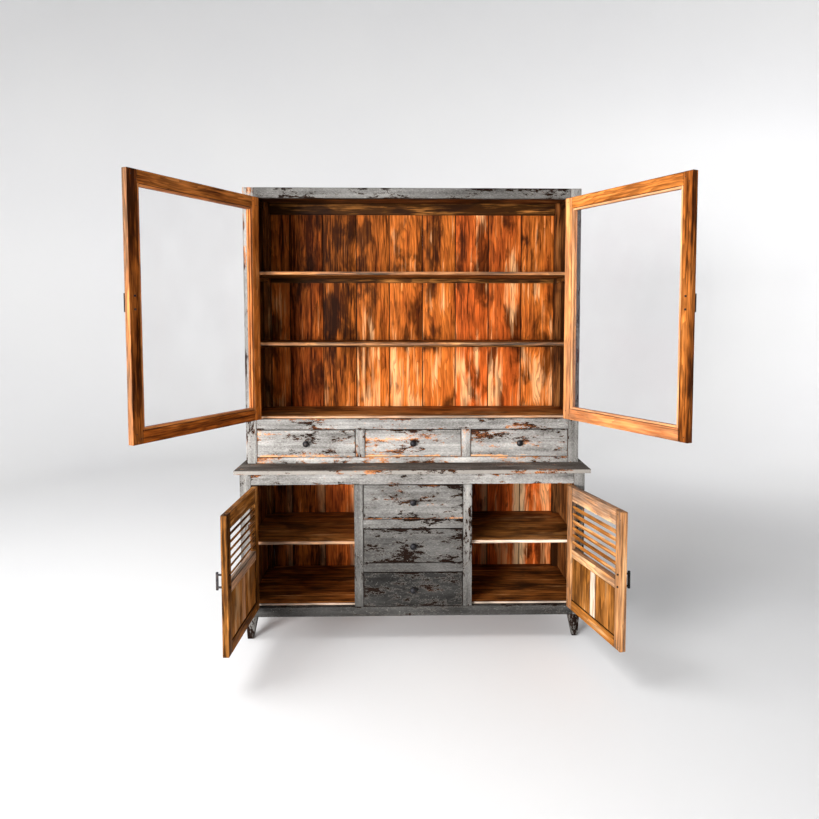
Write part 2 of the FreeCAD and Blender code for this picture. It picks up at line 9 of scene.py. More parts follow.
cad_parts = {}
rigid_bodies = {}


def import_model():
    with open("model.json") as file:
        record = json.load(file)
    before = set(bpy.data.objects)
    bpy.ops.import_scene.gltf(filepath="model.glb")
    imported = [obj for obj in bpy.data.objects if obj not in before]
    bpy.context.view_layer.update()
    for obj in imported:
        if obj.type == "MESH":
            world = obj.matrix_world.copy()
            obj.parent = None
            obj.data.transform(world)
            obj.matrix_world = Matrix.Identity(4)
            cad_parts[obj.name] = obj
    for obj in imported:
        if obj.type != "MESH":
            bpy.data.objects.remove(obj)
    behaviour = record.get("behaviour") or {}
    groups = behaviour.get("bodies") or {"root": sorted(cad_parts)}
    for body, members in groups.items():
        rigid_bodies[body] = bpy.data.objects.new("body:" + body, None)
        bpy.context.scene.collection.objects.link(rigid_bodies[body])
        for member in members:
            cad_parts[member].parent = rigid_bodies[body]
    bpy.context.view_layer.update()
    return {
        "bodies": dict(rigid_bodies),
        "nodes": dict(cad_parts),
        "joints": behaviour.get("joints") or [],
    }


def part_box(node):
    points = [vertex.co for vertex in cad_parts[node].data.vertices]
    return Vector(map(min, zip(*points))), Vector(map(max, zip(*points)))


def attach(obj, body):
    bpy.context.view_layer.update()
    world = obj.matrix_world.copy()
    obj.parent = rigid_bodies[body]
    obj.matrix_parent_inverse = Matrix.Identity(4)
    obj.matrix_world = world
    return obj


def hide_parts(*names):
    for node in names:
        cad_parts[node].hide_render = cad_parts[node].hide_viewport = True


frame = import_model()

MM = 0.001
IMAGE_SIDE = 819  # pixels, both ways


# ---------------------------------------------------------------- colours and nodes


def linear(hex_colour):
    """An sRGB hex colour as linear red, green, blue and full alpha."""
    parts = [int(hex_colour[i : i + 2], 16) / 255 for i in (1, 3, 5)]
    return [p / 12.92 if p <= 0.04045 else ((p + 0.055) / 1.055) ** 2.4 for p in parts] + [1.0]


def add(tree, kind, feeds=None, stops=(), **settings):
    """A node with its settings and colour stops, and with each named input linked or set."""
    node = tree.nodes.new(kind)
    for key, value in settings.items():
        setattr(node, key, value)
    for socket, value in (feeds or {}).items():
        if isinstance(value, bpy.types.NodeSocket):
            tree.links.new(value, node.inputs[socket])
        else:
            node.inputs[socket].default_value = value
    for number, (level, colour) in enumerate(stops):
        marks = node.color_ramp.elements
        mark = marks[number] if number < 2 else marks.new(level)
        mark.position = level
        mark.color = linear(colour)
    return node


def blank_material(name):
    """A material with only its output and one principled shader."""
    material = bpy.data.materials.new(name)
    material.use_nodes = True
    tree = material.node_tree
    tree.nodes.clear()
    shader = add(tree, "ShaderNodeBsdfPrincipled")
    add(tree, "ShaderNodeOutputMaterial", {"Surface": shader.outputs[0]})
    return material, tree, shader


def along_grain(length_mm, width_mm):
    """How often a figure of this length and width repeats in a metre."""
    return (1 / (length_mm * MM), 1 / (width_mm * MM), 1 / (width_mm * MM))


# ---------------------------------------------------------------- timber finishes

RING_GAP = 13 * MM  # twice as coarse as in the tree, so that the rings show
PAINT_ROUGHNESS = 0.72  # chalky


def timber(
    name,
    hues,
    dark,
    pale,
    paint=None,
    chips=None,
    sap=None,
    chip_level=0.585,
    scorched=0.7,
    flamed=0.5,
    gloss=0.5,
    sap_edge=0.0,
):
    """Old teak, sawn and planed by hand, with what is left of its paint.

    Every board carries its own grain: where a point lies along, across and through the
    board, where the heart of the tree was, and how light the board is, with painted shade in
    it.
    """
    material, tree, shader = blank_material(name)
    place, half, heart = (
        add(tree, "ShaderNodeAttribute", attribute_name=told).outputs["Vector"]
        for told in ("grain_place", "board_half", "board_heart")
    )
    mark, tone, dirt, paint_left, rubbed, lying = (
        add(tree, "ShaderNodeAttribute", attribute_name=told).outputs["Fac"]
        for told in (
            "board_mark",
            "board_tone",
            "joint_dirt",
            "paint_left",
            "rubbed_pale",
            "board_lying",
        )
    )

    # No two boards are cut from the same place in the log.
    log = add(
        tree,
        "ShaderNodeVectorMath",
        {0: mark, 1: (31.0, 17.0, 11.0), 2: place},
        operation="MULTIPLY_ADD",
    ).outputs[0]

    def figure(length_mm, width_mm, detail, roughness=0.55, warp=0.0):
        """Cloudy figure of this length along the grain and this width across it."""
        spot = add(
            tree,
            "ShaderNodeVectorMath",
            {0: log, 1: along_grain(length_mm, width_mm)},
            operation="MULTIPLY",
        )
        return add(
            tree,
            "ShaderNodeTexNoise",
            {
                "Vector": spot.outputs[0],
                "Scale": 1.0,
                "Detail": detail,
                "Roughness": roughness,
                "Distortion": warp,
            },
        ).outputs[0]

    def sum_up(start, *terms):
        """start plus each (value - 0.5) times its weight."""
        total = start
        for value, weight in terms:
            part = add(
                tree,
                "ShaderNodeMath",
                {0: value, 1: weight, 2: -0.5 * weight},
                operation="MULTIPLY_ADD",
            )
            total = add(tree, "ShaderNodeMath", {0: total, 1: part.outputs[0]}).outputs[0]
        return total

    def faded(share, *steps):
        """A share times smooth steps: a value, its low and high, and what these two give."""
        for value, low, high, *ends in steps:
            at_low, at_high = ends or (0.0, 1.0)
            step = add(
                tree,
                "ShaderNodeMapRange",
                {
                    "Value": value,
                    "From Min": low,
                    "From Max": high,
                    "To Min": at_low,
                    "To Max": at_high,
                },
                interpolation_type="SMOOTHSTEP",
            )
            share = add(
                tree, "ShaderNodeMath", {0: share, 1: step.outputs[0]}, operation="MULTIPLY"
            ).outputs[0]
        return share

    def stained(under, over, share, *steps):
        """One colour over another, by a share that fades with the steps."""
        over = linear(over) if isinstance(over, str) else over
        return add(
            tree,
            "ShaderNodeMix",
            {0: faded(share, *steps), 6: under, 7: over},
            data_type="RGBA",
        ).outputs[2]

    cloud = figure(260, 75, 2.0)
    scorch = figure(230, 95, 4.0, 0.56, 0.4)
    streak = figure(480, 15, 3.0)
    fibre = figure(90, 6.5, 3.0)

    # Growth rings, cut by the saw into arches and long flames.
    at = add(tree, "ShaderNodeSeparateXYZ", {0: place})
    pith = add(tree, "ShaderNodeSeparateXYZ", {0: heart})
    sideways = add(tree, "ShaderNodeMath", {0: at.outputs[1], 1: pith.outputs[0]}).outputs[0]
    sideways = sum_up(sideways, (cloud, 0.1))
    rising = add(
        tree,
        "ShaderNodeMath",
        {0: at.outputs[0], 1: pith.outputs[2], 2: at.outputs[2]},
        operation="MULTIPLY_ADD",
    ).outputs[0]
    rising = add(tree, "ShaderNodeMath", {0: rising, 1: pith.outputs[1]}).outputs[0]
    rising = sum_up(rising, (scorch, 0.03))
    from_heart = add(tree, "ShaderNodeCombineXYZ", {0: sideways, 1: rising})
    radius = add(tree, "ShaderNodeVectorMath", {0: from_heart.outputs[0]}, operation="LENGTH")
    rings = add(
        tree,
        "ShaderNodeMath",
        {0: radius.outputs["Value"], 1: 1 / RING_GAP},
        operation="MULTIPLY",
    ).outputs[0]
    rings = sum_up(rings, (fibre, 0.6))
    late_wood = add(tree, "ShaderNodeMath", {0: rings}, operation="FRACT").outputs[0]

    light = add(
        tree, "ShaderNodeMath", {0: tone, 1: 1.3, 2: 1.0}, operation="MULTIPLY_ADD"
    ).outputs[0]
    light = sum_up(light, (cloud, 1.8), (streak, 2.2), (fibre, 2.2))
    light = add(tree, "ShaderNodeMath", {0: light, 1: 0.1}, operation="MAXIMUM").outputs[0]
    wood = stained(linear(hues[0]), hues[1], sum_up(mark, (cloud, 2.5), (streak, 1.5)))
    wood = add(
        tree, "ShaderNodeVectorMath", {0: wood, "Scale": light}, operation="SCALE"
    ).outputs[0]
    wood = stained(wood, dark, scorched, (scorch, 0.48, 0.63))
    flame = add(
        tree,
        "ShaderNodeMath",
        {0: tone, 1: 0.36, 2: sum_up(streak, (cloud, 1.1))},
        operation="MULTIPLY_ADD",
    ).outputs[0]
    wood = stained(wood, pale, flamed, (flame, 0.55, 0.84))
    if sap_edge:
        # The young wood under the bark is left along one edge of a plank.
        bark = add(tree, "ShaderNodeMath", {0: pith.outputs[0]}, operation="SIGN").outputs[0]
        rim = add(tree, "ShaderNodeSeparateXYZ", {0: half}).outputs[1]
        inner = add(
            tree,
            "ShaderNodeMath",
            {0: at.outputs[1], 1: bark, 2: sum_up(rim, (scorch, 0.05), (streak, 0.03))},
            operation="MULTIPLY_ADD",
        ).outputs[0]
        wood = stained(
            wood,
            sap,
            1.0,
            (inner, 0.6 * sap_edge, 1.2 * sap_edge, 1.0, 0.0),
            (tone, -0.35, 0.35, 0.2, 0.8),
        )
    wood = stained(wood, dark, 1.0, (late_wood, 0.35, 0.95), (streak, 0.35, 0.6, 0.12, 0.5))
    # Faces worn pale, and on the fronts of shelves and floors a painted highlight as well.
    wood = stained(wood, sap or pale, rubbed, (fibre, 0.3, 0.7, 0.35, 0.9))

    # How far a point is from its board's nearest edge: the middle one of the three gaps.
    inward = add(tree, "ShaderNodeVectorMath", {0: place}, operation="ABSOLUTE").outputs[0]
    gap = add(tree, "ShaderNodeVectorMath", {0: half, 1: inward}, operation="SUBTRACT")
    gap = add(tree, "ShaderNodeSeparateXYZ", {0: gap.outputs[0]}).outputs
    lesser = add(tree, "ShaderNodeMath", {0: gap[0], 1: gap[1]}, operation="MINIMUM")
    greater = add(tree, "ShaderNodeMath", {0: gap[0], 1: gap[1]}, operation="MAXIMUM")
    least = add(
        tree, "ShaderNodeMath", {0: greater.outputs[0], 1: gap[2]}, operation="MINIMUM"
    )
    to_edge = add(
        tree,
        "ShaderNodeMath",
        {0: lesser.outputs[0], 1: least.outputs[0]},
        operation="MAXIMUM",
    ).outputs[0]
    colour = wood
    height = add(
        tree, "ShaderNodeMath", {0: fibre, 1: 0.35, 2: 0.2}, operation="MULTIPLY_ADD"
    ).outputs[0]
    rough = None
    if paint:
        flake = figure(40, 14, 8.0, 0.78, 0.2)
        patch = figure(170, 60, 2.0)
        grit = figure(9, 5, 3.0, 0.75)

        # Hands and brooms knock paint off the lower edge of a broad board, down to pale wood.
        # Elsewhere damp has darkened the bare wood, most where the board's tone is dark, from
        # dirt and from painted shade.
        broad = add(tree, "ShaderNodeSeparateXYZ", {0: half}).outputs[1]
        lower = faded(
            lying,
            (broad, 30 * MM, 38 * MM),
            (tone, -0.85, -0.5),
            (at.outputs[1], -5 * MM, 5 * MM, 1.0, 0.0),
            (gap[1], 2 * MM, 14 * MM, 1.0, 0.0),
        )
        loss = sum_up(flake, (patch, 0.65), (grit, 0.22))
        loss = add(
            tree, "ShaderNodeMath", {0: lower, 1: 0.07, 2: loss}, operation="MULTIPLY_ADD"
        ).outputs[0]
        rim_loss = faded(0.05, (to_edge, 1 * MM, 12 * MM, 1.0, 0.0))
        loss = add(tree, "ShaderNodeMath", {0: loss, 1: rim_loss}).outputs[0]
        worn = add(
            tree, "ShaderNodeMath", {0: paint_left, 1: -0.3, 2: 0.3}, operation="MULTIPLY_ADD"
        )
        loss = add(tree, "ShaderNodeMath", {0: loss, 1: worn.outputs[0]}).outputs[0]
        bare = faded(1.0, (loss, chip_level - 0.008, chip_level + 0.008))
        freshness = sum_up(0.55, (cloud, 1.7), (streak, 0.9), (grit, 1.0))
        for value, weight in ((lower, 0.55), (tone, 0.8)):
            freshness = add(
                tree,
                "ShaderNodeMath",
                {0: value, 1: weight, 2: freshness},
                operation="MULTIPLY_ADD",
            ).outputs[0]
        chipped = add(tree, "ShaderNodeValToRGB", {0: freshness}, chips).outputs[0]
        coat = add(
            tree,
            "ShaderNodeValToRGB",
            {0: sum_up(0.5, (streak, 0.6), (cloud, 0.6), (scorch, 0.8), (grit, 0.9))},
            paint,
        ).outputs[0]
        # The coat is darkened by the board's tone, which holds grime and painted shade as well
        # as its own tone.
        grimed = add(tree, "ShaderNodeMath", {0: tone, 1: 1.0}).outputs[0]
        coat = add(
            tree, "ShaderNodeVectorMath", {0: coat, "Scale": grimed}, operation="SCALE"
        ).outputs[0]
        # The undercoat shows white round a chip and in pin-prick flecks.
        coat = stained(coat, "#B9B3AA", 0.25, (loss, chip_level - 0.04, chip_level))
        coat = stained(coat, "#CFCBC4", 0.5, (grit, 0.67, 0.73))
        coat = stained(coat, "#BDB7AE", rubbed)
        had_paint = add(
            tree, "ShaderNodeMath", {0: paint_left, 1: 0.02}, operation="GREATER_THAN"
        ).outputs[0]
        colour = stained(wood, stained(coat, chipped, bare), had_paint)
        film = add(tree, "ShaderNodeMath", {0: 1.0, 1: bare}, operation="SUBTRACT")
        film = add(
            tree, "ShaderNodeMath", {0: film.outputs[0], 1: had_paint}, operation="MULTIPLY"
        ).outputs[0]
        height = add(
            tree, "ShaderNodeMath", {0: film, 1: 0.7, 2: height}, operation="MULTIPLY_ADD"
        ).outputs[0]
        rough = faded(1.0, (film, 0.0, 1.0, gloss, PAINT_ROUGHNESS))

    # Dark joints round a board, as deep as the board says: dirt, and painted shade in the gaps
    # between parts.
    colour = stained(colour, "#0B0603", dirt, (to_edge, 0.8 * MM, 4.5 * MM, 1.0, 0.0))

    bump = add(
        tree,
        "ShaderNodeBump",
        {"Height": height, "Strength": 0.5, "Distance": 0.8 * MM},
    ).outputs[0]
    tree.links.new(colour, shader.inputs["Base Color"])
    tree.links.new(bump, shader.inputs["Normal"])
    if rough:
        tree.links.new(rough, shader.inputs["Roughness"])
    else:
        shader.inputs["Roughness"].default_value = gloss
    shader.inputs["IOR"].default_value = 1.45
    shader.inputs["Specular IOR Level"].default_value = 0.03
    return material


# The grey paint, from its dirtiest to its cleanest.
GREYS = (
    (0.1, "#4F4C49"),
    (0.35, "#76736F"),
    (0.55, "#918E8A"),
    (0.75, "#A9A6A1"),
    (0.95, "#C8C3BB"),
)
# Bare wood in a chip, from blackened by damp to freshly knocked.
CHIPS = (
    (0.2, "#170E0A"),
    (0.5, "#2E1C13"),
    (0.62, "#6B3D22"),
    (0.8, "#B4774B"),
    (1.0, "#D39F73"),
)

# Bare reclaimed teak of the inside: planed and oiled, orange, with black heartwood clouds,
# pale sapwood flames and dirt in the joints.
RAW_TEAK = timber(
    "oiled_reclaimed_teak",
    ("#B8541F", "#B56023"),
    "#1B0A03",
    "#F0B57E",
    scorched=0.8,
    flamed=0.75,
    gloss=0.55,
)
# Planks of the lower back: the same, cut so wide that pale sapwood is left along one edge.
SAPWOOD_TEAK = timber(
    "oiled_teak_with_sapwood",
    ("#B8541F", "#B56023"),
    "#1B0A03",
    "#F0B57E",
    sap="#E2BE90",
    scorched=0.8,
    flamed=0.6,
    gloss=0.55,
    sap_edge=32 * MM,
)
# Shelves and floors: the same wood, browner where things were set down.
BROWN_TEAK = timber(
    "oiled_brown_teak",
    ("#A4602A", "#A86C34"),
    "#22120A",
    "#EDBB86",
    sap="#F8E9D6",
    scorched=0.7,
    flamed=0.5,
)
# Frame timber: thin chalky grey paint, flaked off to dark wood, with specks of white undercoat.
GREY_PAINT = timber(
    "chalk_grey_paint_on_teak",
    ("#7E451F", "#8A5A30"),
    "#1B0E07",
    "#C89A66",
    GREYS,
    CHIPS,
)
# Glazed doors: oiled reddish teak inside, the same grey paint outside.
RED_DOOR_TEAK = timber(
    "oiled_red_teak",
    ("#9C5019", "#AE672D"),
    "#3B1A0A",
    "#DC9B5B",
    GREYS,
    CHIPS,
    "#E4B68C",
    scorched=0.35,
    flamed=0.35,
    gloss=0.4,
)
# Louvred doors: yellower teak inside, left dry.
HONEY_DOOR_TEAK = timber(
    "dry_honey_teak",
    ("#9A5E24", "#A66C33"),
    "#3A200E",
    "#E3C092",
    GREYS,
    CHIPS,
    "#EEDFCD",
    scorched=0.6,
    flamed=0.45,
)
# Counter: the paint is rubbed through and stained dark by use.
COUNTER_TOP = timber(
    "rubbed_dark_counter_teak",
    ("#4A3422", "#5C452F"),
    "#1C120B",
    "#8F7354",
    ((0.1, "#302B27"), (0.4, "#4B443F"), (0.65, "#635C56"), (0.95, "#8E8880")),
    CHIPS,
    chip_level=0.64,
)


def clouded(name, size, detail, stops, fixed):
    """A material with soft clouds of colour of this size, and the clouds for more use."""
    material, tree, shader = blank_material(name)
    spot = add(tree, "ShaderNodeTexCoord").outputs["Object"]
    clouds = add(
        tree,
        "ShaderNodeTexNoise",
        {"Vector": spot, "Scale": 1 / size, "Detail": detail},
    ).outputs[0]
    skin = add(tree, "ShaderNodeValToRGB", {0: clouds}, stops)
    tree.links.new(skin.outputs[0], shader.inputs["Base Color"])
    for socket, value in fixed.items():
        shader.inputs[socket].default_value = value
    return material, tree, shader, clouds


# Blackened wrought iron: near black, hammered, with a dull satin and brown in the hollows.
def blackened_iron():
    material, tree, shader, _ = clouded(
        "blackened_wrought_iron",
        16 * MM,
        5.0,
        ((0.3, "#1A1A1C"), (0.55, "#2C2B2D"), (0.72, "#3F352F")),
        {"Metallic": 0.85},
    )
    spot = add(tree, "ShaderNodeTexCoord").outputs["Object"]
    hammer = add(
        tree,
        "ShaderNodeTexNoise",
        {"Vector": spot, "Scale": 1 / (7 * MM), "Detail": 3.0},
    ).outputs[0]
    gloss = add(tree, "ShaderNodeMapRange", {"Value": hammer, "To Min": 0.38, "To Max": 0.62})
    bump = add(
        tree,
        "ShaderNodeBump",
        {"Height": hammer, "Strength": 0.4, "Distance": 0.6 * MM},
    )
    tree.links.new(gloss.outputs[0], shader.inputs["Roughness"])
    tree.links.new(bump.outputs[0], shader.inputs["Normal"])
    return material


# Screws: zinc plated steel, bright, dulled in patches by handling.
def bright_steel():
    material, tree, shader, dull = clouded(
        "zinc_plated_steel",
        4 * MM,
        3.0,
        ((0.3, "#8C8A86"), (0.6, "#C9C6C0")),
        {"Metallic": 1.0},
    )
    gloss = add(tree, "ShaderNodeMapRange", {"Value": dull, "To Min": 0.25, "To Max": 0.5})
    tree.links.new(gloss.outputs[0], shader.inputs["Roughness"])
    return material


# Window glass: clear float glass with a thin film of dust that greys it a little.
def window_glass():
    material, tree, shader, dust = clouded(
        "clear_window_glass",
        240 * MM,
        4.0,
        ((0.3, "#8B898E"), (0.7, "#97888E")),
        {"Roughness": 0.03, "IOR": 1.52},
    )
    film = add(
        tree,
        "ShaderNodeMapRange",
        {"Value": dust, "From Min": 0.3, "From Max": 0.7, "To Min": 0.03, "To Max": 0.07},
    )
    tree.links.new(film.outputs[0], shader.inputs["Alpha"])
    return material


BLACK_IRON = blackened_iron()
BRIGHT_STEEL = bright_steel()
WINDOW_GLASS = window_glass()


# ---------------------------------------------------------------- boards

SHARP = math.radians(30)  # an edge that turns more than this gets eased
LENGTHS = 55 * MM  # a board is cut this short, for its wear to show
STRAY = 0.05  # how far the tones of like boards stray
LOOKS = 0.4  # a face looks a way if its normal goes this far along it


def body_of(node):
    """The body that a node belongs to."""
    return next((b for b in frame["bodies"] if node.startswith(b + "_")), "carcass")


def shut_turn(body):
    """Takes a point of a resting door to where it is with the door shut."""
    for joint in frame["joints"]:
        if joint["child"] == body and joint["type"] == "hinge":
            pin = Matrix.Translation(joint["pos_m"])
            angle = math.radians(joint["range_deg"][0])
            return pin @ Matrix.Rotation(angle, 4, Vector(joint["axis"])) @ pin.inverted()
    return Matrix.Identity(4)


def boards_of(node, turn):
    """The node's separate boards, each as loops of corners, with its door shut."""
    mesh = frame["nodes"][node].data
    corner = [tuple(round(c, 6) for c in turn @ v.co) for v in mesh.vertices]
    unmatched, board, boards = set(), [], []
    for face in mesh.polygons:
        loop = [corner[i] for i in face.vertices]
        board.append(loop)
        for a, b in zip(loop, loop[1:] + loop[:1]):
            if (b, a) in unmatched:
                unmatched.remove((b, a))
            else:
                unmatched.add((a, b))
        if not unmatched:
            boards.append(board)
            board = []
    if board:
        raise RuntimeError(f"{node}: an open shell")
    return boards


def reach_of(loops):
    """The lowest and highest corner of a board."""
    points = [c for loop in loops for c in loop]
    return (
        Vector([min(p[i] for p in points) for i in range(3)]),
        Vector([max(p[i] for p in points) for i in range(3)]),
    )


def eased_shell(loops, edge, shortest):
    """A closed shell with its sharp outer edges rounded over."""
    bm = bmesh.new()
    made = {}
    for loop in loops:
        for c in loop:
            if c not in made:
                made[c] = bm.verts.new(c)
        bm.faces.new([made[c] for c in loop])
    bmesh.ops.dissolve_limit(
        bm, angle_limit=math.radians(1), verts=bm.verts[:], edges=bm.edges[:]
    )
    sharp = [
        e
        for e in bm.edges
        if e.is_convex and e.calc_length() > shortest and e.calc_face_angle(0) > SHARP
    ]
    if sharp and edge:
        bmesh.ops.bevel(
            bm,
            geom=sharp,
            offset=edge,
            offset_type="OFFSET",
            segments=2,
            profile=0.6,
            affect="EDGES",
            clamp_overlap=True,
        )
    return bm


def worked_board(loops, edge, wear, long_way, seed):
    """One board with its edges eased and worn, cut into short lengths along its grain."""
    bm = eased_shell(loops, edge, 12 * MM)
    low = min(v.co[long_way] for v in bm.verts)
    high = max(v.co[long_way] for v in bm.verts)
    cuts = int((high - low) / LENGTHS)
    face_way = Vector([float(i == long_way) for i in range(3)])
    for n in range(1, cuts):
        level = low + (high - low) * n / cuts
        bmesh.ops.bisect_plane(
            bm,
            geom=bm.verts[:] + bm.edges[:] + bm.faces[:],
            plane_co=face_way * level,
            plane_no=face_way,
            dist=1e-6,
        )
    bm.normal_update()
    for v in bm.verts:
        rub = noise.noise(v.co * 14 + Vector((seed, -seed, 2 * seed)))
        v.co -= v.normal * wear * max(0.0, 0.35 + rub)
    return bm


def new_piece(name, verts, faces, materials, smooth_angle=40):
    """A mesh object at the origin, smooth except over its sharp edges."""
    mesh = bpy.data.meshes.new(name)
    mesh.from_pydata(verts, [], faces)
    for material in materials:
        mesh.materials.append(material)
    mesh.polygons.foreach_set("use_smooth", [True] * len(mesh.polygons))
    mesh.set_sharp_from_angle(angle=math.radians(smooth_angle))
    piece = bpy.data.objects.new(name, mesh)
    bpy.context.scene.collection.objects.link(piece)
    return piece


def give(piece, name, kind, domain, values):
    """A named attribute on a piece's points or faces."""
    key = "vector" if kind == "FLOAT_VECTOR" else "value"
    piece.data.attributes.new(name, kind, domain).data.foreach_set(key, values)


def settle(piece, body, slot, *nodes):
    """Lets a piece ride on its body, in the place of the nodes that it stands for."""
    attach(piece, body)
    if nodes:
        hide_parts(*nodes)


def timber_mesh(
    node,
    boards,
    material,
    paint=None,
    tone=0.0,
    tones=(0.0,),
    edge=2.0,
    wear=0.5,
    grain=None,
    dirt=0.0,
    upwards=0.0,
    inside=0.0,
    rubbed=(0.0,),
    rubbed_way=(0, -1, 0),
    sapwood=(0.0,),
    reveal=0.0,
    lot="",
):
    """Worked boards in a node's place, each with its own grain, tone and paint.

    Tones, sapwood and what is worn pale or made pale as a painted highlight go from board to
    board.
    The tone also changes by the metre with height, as painted shade, on bare faces inside, and
    on the edges round an opening, where it is painted shade too. The edge and the wear are in
    millimetres. Another lot gives boards from another log.
    """
    back = shut_turn(body_of(node)).inverted()
    draw = random.Random(node + lot)
    reaches = [reach_of(loops) for loops in boards]
    least, most = reach_of(reaches)
    rim = 4 * MM

    def in_opening(spot, normal, low, high):
        """Whether a board's edge looks into an opening, sideways or up and down."""
        return any(
            abs(normal[w]) > 0.5
            and least[w] + rim < spot[w] < most[w] - rim
            and min(spot[w] - low[w], high[w] - spot[w]) < rim
            for w in (0, 2)
        )

    verts, faces = [], []
    place, half, heart, mark, lying, shade, grime, paint_left, pale = ([] for _ in range(9))
    for number, (loops, (low, high)) in enumerate(zip(boards, reaches)):
        size, middle = high - low, (low + high) / 2
        ways = sorted(range(3), key=lambda i: -size[i])
        if grain is not None:
            ways.sort(key=lambda i: i != grain)
        seed = draw.random()
        pith = (
            draw.uniform(-0.6, 0.6) * size[ways[1]],
            draw.choice((-1, 1)) * draw.uniform(0.01, 0.07),
            draw.uniform(-0.11, 0.11),
        )
        board_tone = tone(middle) if callable(tone) else tone
        board_tone += tones[number % len(tones)] + draw.uniform(-1, 1) * STRAY
        bm = worked_board(loops, edge * MM, wear * MM, ways[0], number + 7 * seed)
        first = len(verts)
        for i, v in enumerate(bm.verts):
            v.index = first + i
            verts.append(back @ v.co)
            place.extend((v.co - middle)[w] for w in ways)
            half.extend(size[w] / 2 for w in ways)
            heart.extend(pith)
            mark.append(seed)
            lying.append(float(ways[1] == 2))
            if callable(dirt):
                grime.append(dirt(v.co, middle))
            else:
                grime.append(dirt * (0.25 if paint and v.co.z < middle.z else 1.0))
            # Bare inner faces get their own tone, and tone by height and on the edges round an
            # opening is painted shade.
            bare = paint and not paint(v.normal, middle)
            hidden = inside * bool(bare) + reveal * in_opening(v.co, v.normal, low, high)
            shade.append(board_tone + upwards * (v.co.z - middle.z) + hidden)
        for f in bm.faces:
            faces.append([v.index for v in f.verts])
            left = paint(f.normal, middle) if paint else 0.0
            paint_left.append(left)
            sap = 0.0 if left else sapwood[number % len(sapwood)]
            handled = f.normal.dot(Vector(rubbed_way)) > LOOKS
            pale.append(max(handled * rubbed[number % len(rubbed)], sap))
        bm.free()
    piece = new_piece(node + "_timber", verts, faces, [material])
    give(piece, "grain_place", "FLOAT_VECTOR", "POINT", place)
    give(piece, "board_half", "FLOAT_VECTOR", "POINT", half)
    give(piece, "board_heart", "FLOAT_VECTOR", "POINT", heart)
    give(piece, "board_mark", "FLOAT", "POINT", mark)
    give(piece, "board_lying", "FLOAT", "POINT", lying)
    give(piece, "board_tone", "FLOAT", "POINT", shade)
    give(piece, "joint_dirt", "FLOAT", "POINT", grime)
    give(piece, "paint_left", "FLOAT", "FACE", paint_left)
    give(piece, "rubbed_pale", "FLOAT", "FACE", pale)
    return piece


def timber_piece(node, material, slot, paint=None, tone=0.0, **working):
    """Stands worked boards in a node's place."""
    body = body_of(node)
    boards = boards_of(node, shut_turn(body))
    piece = timber_mesh(node, boards, material, paint, tone, **working)
    settle(piece, body, slot, node)


# ---------------------------------------------------------------- what repeats


def repeat_tree(name, sizes):
    """An empty node tree that takes points or a shape, named sizes, a seed and a finish."""
    tree = bpy.data.node_groups.new(name, "GeometryNodeTree")
    tree.interface.new_socket("Geometry", in_out="INPUT", socket_type="NodeSocketGeometry")
    for label, kind in (*sizes, ("Seed", "Int"), ("Finish", "Material")):
        tree.interface.new_socket(label, in_out="INPUT", socket_type="NodeSocket" + kind)
    tree.interface.new_socket("Geometry", in_out="OUTPUT", socket_type="NodeSocketGeometry")
    return tree, add(tree, "NodeGroupInput").outputs


def end_tree(tree, instances, finish):
    """Turns the instances into one plain mesh of one finish."""
    solid = add(tree, "GeometryNodeRealizeInstances", {"Geometry": instances})
    dressed = add(
        tree,
        "GeometryNodeSetMaterial",
        {"Geometry": solid.outputs[0], "Material": finish},
    )
    add(tree, "NodeGroupOutput", {"Geometry": dressed.outputs[0]})


def run_tree(piece, tree, **inputs):
    """Gives a piece the mesh that the tree makes of it, and leaves no modifier on it."""
    modifier = piece.modifiers.new(tree.name, "NODES")
    modifier.node_group = tree
    for item in tree.interface.items_tree:
        told = inputs.get(item.name.lower().replace(" ", "_"))
        if item.in_out == "INPUT" and told is not None:
            modifier[item.identifier] = told
    evaluated = piece.evaluated_get(bpy.context.evaluated_depsgraph_get())
    plain = piece.data
    piece.data = bpy.data.meshes.new_from_object(evaluated)
    piece.modifiers.clear()
    bpy.data.meshes.remove(plain)


def slat_stack():
    """One louvre slat set above another, each from another piece of the log."""
    tree, given = repeat_tree(
        "louvre_slats", (("Count", "Int"), ("Pitch", "Float"), ("Tone", "Float"))
    )
    rise = add(tree, "ShaderNodeCombineXYZ", {2: given["Pitch"]})
    rungs = add(
        tree,
        "GeometryNodeMeshLine",
        {"Count": given["Count"], "Offset": rise.outputs[0]},
    )
    slats = add(
        tree,
        "GeometryNodeInstanceOnPoints",
        {"Points": rungs.outputs[0], "Instance": given["Geometry"]},
    ).outputs[0]
    later = add(tree, "ShaderNodeMath", {0: given["Seed"], 1: 1.0})
    lot = add(tree, "FunctionNodeRandomValue", {2: 0.0, 3: 1.0, "Seed": given["Seed"]})
    lighter = add(tree, "FunctionNodeRandomValue", {2: -0.1, 3: 0.1, "Seed": later.outputs[0]})
    tone = add(tree, "ShaderNodeMath", {0: given["Tone"], 1: lighter.outputs[1]})
    for label, value in (("board_mark", lot.outputs[1]), ("board_tone", tone.outputs[0])):
        slats = add(
            tree,
            "GeometryNodeStoreNamedAttribute",
            {"Geometry": slats, "Name": label, "Value": value},
            data_type="FLOAT",
            domain="INSTANCE",
        ).outputs[0]
    end_tree(tree, slats, given["Finish"])
    return tree


